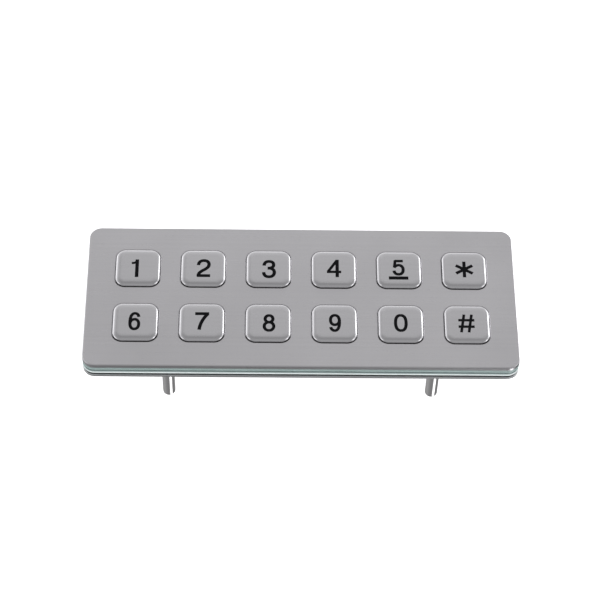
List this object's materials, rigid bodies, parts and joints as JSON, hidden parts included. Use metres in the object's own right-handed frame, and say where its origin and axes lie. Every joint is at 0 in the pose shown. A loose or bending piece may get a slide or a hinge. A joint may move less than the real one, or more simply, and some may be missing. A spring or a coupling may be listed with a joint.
{
  "type": "keypad access reader",
  "caption": "Flush panel keypad for door access, with pressed steel keys in two rows, a silicone edge seal, rear studs and a sealed rear cover.",
  "frame": {"origin": "centre of the mounting plane, on the back frame's rear face", "axes": "+X along the face, +Y up the face towards the first key row, +Z out of the face"},
  "size_m": [0.14, 0.0544, 0.0224],
  "materials": {
    "satin_steel": "satin, brushed along the length",
    "key_steel": "satin, rounded edges",
    "seal_silicone": "smooth translucent silicone",
    "bond_rubber": "matt",
    "frame_steel": "rolled",
    "mat_silicone": "matt",
    "carbon": "matt",
    "board_laminate": "solder resist",
    "gold": "plated",
    "bright_steel": "bright",
    "gasket_rubber": "matt foam",
    "cover_plastic": "fine moulded texture",
    "connector_nylon": "moulded",
    "chip_epoxy": "moulded",
    "part_ceramic": "fired"
  },
  "bodies": {
    "root": {"faceplate": "satin_steel", "edge_seal": "seal_silicone", "bonding_layer": "bond_rubber", "back_frame": "frame_steel", "silicone_mat": "mat_silicone", "circuit_board": "board_laminate", "contact_pads": "gold", "standoffs": "bright_steel", "board_screws": "bright_steel", "mounting_studs": "bright_steel", "cover_gasket": "gasket_rubber", "rear_cover": "cover_plastic", "cover_screws": "bright_steel", "connector_shroud": "connector_nylon", "connector_pins": "gold", "controller_chip": "chip_epoxy", "surface_parts": "part_ceramic", "dome_1": "mat_silicone", "dome_2": "mat_silicone", "dome_3": "mat_silicone", "dome_4": "mat_silicone", "dome_5": "mat_silicone", "dome_star": "mat_silicone", "dome_6": "mat_silicone", "dome_7": "mat_silicone", "dome_8": "mat_silicone", "dome_9": "mat_silicone", "dome_0": "mat_silicone", "dome_hash": "mat_silicone"},
    "key_1": {"keycap_1": "key_steel", "pill_1": "carbon"},
    "key_2": {"keycap_2": "key_steel", "pill_2": "carbon"},
    "key_3": {"keycap_3": "key_steel", "pill_3": "carbon"},
    "key_4": {"keycap_4": "key_steel", "pill_4": "carbon"},
    "key_5": {"keycap_5": "key_steel", "pill_5": "carbon"},
    "key_star": {"keycap_star": "key_steel", "pill_star": "carbon"},
    "key_6": {"keycap_6": "key_steel", "pill_6": "carbon"},
    "key_7": {"keycap_7": "key_steel", "pill_7": "carbon"},
    "key_8": {"keycap_8": "key_steel", "pill_8": "carbon"},
    "key_9": {"keycap_9": "key_steel", "pill_9": "carbon"},
    "key_0": {"keycap_0": "key_steel", "pill_0": "carbon"},
    "key_hash": {"keycap_hash": "key_steel", "pill_hash": "carbon"}
  },
  "joints": [
    {"name": "press_1", "type": "slide", "parent": "root", "child": "key_1", "axis": [0, 0, -1], "range_m": [0, 0.0005], "stiffness_N_per_m": 1500, "springref_m": -0.001, "deforming": ["dome_1"]},
    {"name": "press_2", "type": "slide", "parent": "root", "child": "key_2", "axis": [0, 0, -1], "range_m": [0, 0.0005], "stiffness_N_per_m": 1500, "springref_m": -0.001, "deforming": ["dome_2"]},
    {"name": "press_3", "type": "slide", "parent": "root", "child": "key_3", "axis": [0, 0, -1], "range_m": [0, 0.0005], "stiffness_N_per_m": 1500, "springref_m": -0.001, "deforming": ["dome_3"]},
    {"name": "press_4", "type": "slide", "parent": "root", "child": "key_4", "axis": [0, 0, -1], "range_m": [0, 0.0005], "stiffness_N_per_m": 1500, "springref_m": -0.001, "deforming": ["dome_4"]},
    {"name": "press_5", "type": "slide", "parent": "root", "child": "key_5", "axis": [0, 0, -1], "range_m": [0, 0.0005], "stiffness_N_per_m": 1500, "springref_m": -0.001, "deforming": ["dome_5"]},
    {"name": "press_star", "type": "slide", "parent": "root", "child": "key_star", "axis": [0, 0, -1], "range_m": [0, 0.0005], "stiffness_N_per_m": 1500, "springref_m": -0.001, "deforming": ["dome_star"]},
    {"name": "press_6", "type": "slide", "parent": "root", "child": "key_6", "axis": [0, 0, -1], "range_m": [0, 0.0005], "stiffness_N_per_m": 1500, "springref_m": -0.001, "deforming": ["dome_6"]},
    {"name": "press_7", "type": "slide", "parent": "root", "child": "key_7", "axis": [0, 0, -1], "range_m": [0, 0.0005], "stiffness_N_per_m": 1500, "springref_m": -0.001, "deforming": ["dome_7"]},
    {"name": "press_8", "type": "slide", "parent": "root", "child": "key_8", "axis": [0, 0, -1], "range_m": [0, 0.0005], "stiffness_N_per_m": 1500, "springref_m": -0.001, "deforming": ["dome_8"]},
    {"name": "press_9", "type": "slide", "parent": "root", "child": "key_9", "axis": [0, 0, -1], "range_m": [0, 0.0005], "stiffness_N_per_m": 1500, "springref_m": -0.001, "deforming": ["dome_9"]},
    {"name": "press_0", "type": "slide", "parent": "root", "child": "key_0", "axis": [0, 0, -1], "range_m": [0, 0.0005], "stiffness_N_per_m": 1500, "springref_m": -0.001, "deforming": ["dome_0"]},
    {"name": "press_hash", "type": "slide", "parent": "root", "child": "key_hash", "axis": [0, 0, -1], "range_m": [0, 0.0005], "stiffness_N_per_m": 1500, "springref_m": -0.001, "deforming": ["dome_hash"]}
  ]
}
